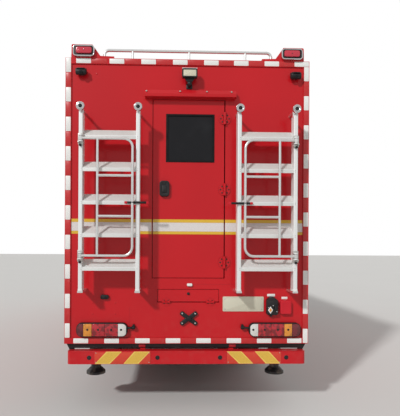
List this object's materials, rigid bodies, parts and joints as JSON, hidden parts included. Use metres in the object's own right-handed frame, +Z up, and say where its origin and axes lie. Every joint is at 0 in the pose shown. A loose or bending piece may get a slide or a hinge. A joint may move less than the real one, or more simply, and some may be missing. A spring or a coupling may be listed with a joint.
{
  "type": "fire support truck",
  "caption": "Cab-over fire support truck with a panel box body, rear door, ladders on the rear wall with swing handrails, lockers and stabiliser legs.",
  "frame": {"origin": "on the ground, at the middle of the vehicle's length and width", "axes": "+Y forwards to the cab, +X to the truck's right, +Z up"},
  "size_m": [2.8, 9.1999, 3.726],
  "materials": {
    "chassis_paint": "semi-gloss",
    "dark_steel": "matt",
    "black_plastic": "grained",
    "aluminium": "brushed",
    "polished_steel": "polished tube",
    "red_paint": "gloss",
    "dark_glass": "tinted",
    "clear_glass": "gloss",
    "lamp_plastic": "gloss",
    "lamp_glass": "gloss",
    "blue_lens": "gloss",
    "tyre": "matt",
    "wheel_steel": "silver paint",
    "grey_plastic": "grained",
    "seat_fabric": "woven"
  },
  "bodies": {
    "truck": {"chassis_frame": "chassis_paint", "box_floor": "chassis_paint", "leaf_springs": "dark_steel", "front_axle": "dark_steel", "rear_axle": "dark_steel", "engine": "dark_steel", "front_mudguards": "black_plastic", "tanks": "aluminium", "rear_bumper": "red_paint", "jack_tubes": "dark_steel", "box_roof": "red_paint", "box_left_wall": "red_paint", "box_right_wall": "red_paint", "box_front_wall": "red_paint", "box_rear_wall": "red_paint", "rear_edge_frame": "red_paint", "box_windows": "dark_glass", "skirts": "red_paint", "ladders": "aluminium", "ladder_hooks": "polished_steel", "guard_rail": "polished_steel", "rear_lamps": "lamp_plastic", "rear_fittings": "black_plastic", "front_bumper": "black_plastic", "headlamps": "lamp_glass"},
    "knuckle_left": {"knuckle_left": "dark_steel"},
    "knuckle_right": {"knuckle_right": "dark_steel"},
    "tie_rod": {"tie_rod": "dark_steel"},
    "front_wheel_left": {"front_tyre_left": "tyre", "front_rim_left": "wheel_steel"},
    "front_wheel_right": {"front_tyre_right": "tyre", "front_rim_right": "wheel_steel"},
    "rear_wheels_left": {"rear_tyres_left": "tyre", "rear_rims_left": "wheel_steel"},
    "rear_wheels_right": {"rear_tyres_right": "tyre", "rear_rims_right": "wheel_steel"},
    "jack_left": {"jack_leg_left": "polished_steel"},
    "jack_right": {"jack_leg_right": "polished_steel"},
    "rear_door": {"rear_door": "red_paint", "rear_door_glass": "dark_glass"},
    "rear_hatch": {"rear_hatch": "red_paint"},
    "side_door": {"side_door": "red_paint"},
    "locker_front_left": {"locker_flap_front_left": "red_paint"},
    "locker_front_right": {"locker_flap_front_right": "red_paint"},
    "locker_rear_left": {"locker_flap_rear_left": "red_paint"},
    "locker_rear_right": {"locker_flap_rear_right": "red_paint"},
    "handrail_left": {"handrail_left": "polished_steel"},
    "handrail_right": {"handrail_right": "polished_steel"},
    "cab": {"cab_shell": "red_paint", "cab_glass": "clear_glass", "cab_grille": "black_plastic", "cab_interior": "grey_plastic", "cab_seats": "seat_fabric", "mirrors": "black_plastic", "light_bar": "blue_lens"},
    "cab_door_left": {"cab_door_left": "red_paint", "cab_door_glass_left": "clear_glass"},
    "cab_door_right": {"cab_door_right": "red_paint", "cab_door_glass_right": "clear_glass"}
  },
  "joints": [
    {"name": "steer_left", "type": "hinge", "parent": "truck", "child": "knuckle_left", "pos_m": [-0.9, 3.17, 0.522], "axis": [0, 0, 1], "range_deg": [-35, 35]},
    {"name": "steer_right", "type": "hinge", "parent": "truck", "child": "knuckle_right", "pos_m": [0.9, 3.17, 0.522], "axis": [0, 0, 1], "range_deg": [-35, 35]},
    {"name": "tie_rod_pivot", "type": "hinge", "parent": "knuckle_left", "child": "tie_rod", "pos_m": [-0.9, 2.99, 0.41], "axis": [0, 0, 1], "range_deg": [-35, 35]},
    {"name": "front_wheel_left_spin", "type": "hinge", "parent": "knuckle_left", "child": "front_wheel_left", "pos_m": [-1.025, 3.17, 0.522], "axis": [1, 0, 0], "continuous": true},
    {"name": "front_wheel_right_spin", "type": "hinge", "parent": "knuckle_right", "child": "front_wheel_right", "pos_m": [1.025, 3.17, 0.522], "axis": [1, 0, 0], "continuous": true},
    {"name": "rear_wheels_left_spin", "type": "hinge", "parent": "truck", "child": "rear_wheels_left", "pos_m": [-0.915, -1.83, 0.522], "axis": [1, 0, 0], "continuous": true},
    {"name": "rear_wheels_right_spin", "type": "hinge", "parent": "truck", "child": "rear_wheels_right", "pos_m": [0.915, -1.83, 0.522], "axis": [1, 0, 0], "continuous": true},
    {"name": "cab_tilt", "type": "hinge", "parent": "truck", "child": "cab", "pos_m": [0, 4.44, 0.85], "axis": [-1, 0, 0], "range_deg": [0, 50]},
    {"name": "cab_door_left_swing", "type": "hinge", "parent": "cab", "child": "cab_door_left", "pos_m": [-1.167, 4.2445, 2], "axis": [0, 0, -1], "range_deg": [0, 70]},
    {"name": "cab_door_right_swing", "type": "hinge", "parent": "cab", "child": "cab_door_right", "pos_m": [1.167, 4.2445, 2], "axis": [0, 0, 1], "range_deg": [0, 70]},
    {"name": "rear_door_swing", "type": "hinge", "parent": "truck", "child": "rear_door", "pos_m": [0.3785, -4.325, 2.261], "axis": [0, 0, 1], "range_deg": [0, 90]},
    {"name": "rear_hatch_drop", "type": "hinge", "parent": "truck", "child": "rear_hatch", "pos_m": [0.01, -4.319, 1.1045], "axis": [1, 0, 0], "range_deg": [0, 90]},
    {"name": "side_door_swing", "type": "hinge", "parent": "truck", "child": "side_door", "pos_m": [1.267, 2.1555, 2.3], "axis": [0, 0, 1], "range_deg": [0, 90]},
    {"name": "locker_front_right_lift", "type": "hinge", "parent": "truck", "child": "locker_front_right", "pos_m": [1.261, -0.195, 1.1065], "axis": [0, -1, 0], "range_deg": [0, 90]},
    {"name": "locker_front_left_lift", "type": "hinge", "parent": "truck", "child": "locker_front_left", "pos_m": [-1.261, -0.195, 1.1065], "axis": [0, 1, 0], "range_deg": [0, 90]},
    {"name": "locker_rear_right_lift", "type": "hinge", "parent": "truck", "child": "locker_rear_right", "pos_m": [1.261, -3.16, 1.1065], "axis": [0, -1, 0], "range_deg": [0, 90]},
    {"name": "locker_rear_left_lift", "type": "hinge", "parent": "truck", "child": "locker_rear_left", "pos_m": [-1.261, -3.16, 1.1065], "axis": [0, 1, 0], "range_deg": [0, 90]},
    {"name": "handrail_right_swing", "type": "hinge", "parent": "truck", "child": "handrail_right", "pos_m": [1.04, -4.58, 2.71], "axis": [0, 0, 1], "range_deg": [0, 90]},
    {"name": "handrail_left_swing", "type": "hinge", "parent": "truck", "child": "handrail_left", "pos_m": [-1.04, -4.58, 2.71], "axis": [0, 0, -1], "range_deg": [0, 90]},
    {"name": "jack_left_slide", "type": "slide", "parent": "truck", "child": "jack_left", "axis": [0, 0, -1], "range_m": [0, 0.285]},
    {"name": "jack_right_slide", "type": "slide", "parent": "truck", "child": "jack_right", "axis": [0, 0, -1], "range_m": [0, 0.285]}
  ],
  "couplings": [
    {"joint": "steer_right", "follows": "steer_left", "ratio": 1},
    {"joint": "tie_rod_pivot", "follows": "steer_left", "ratio": -1}
  ]
}
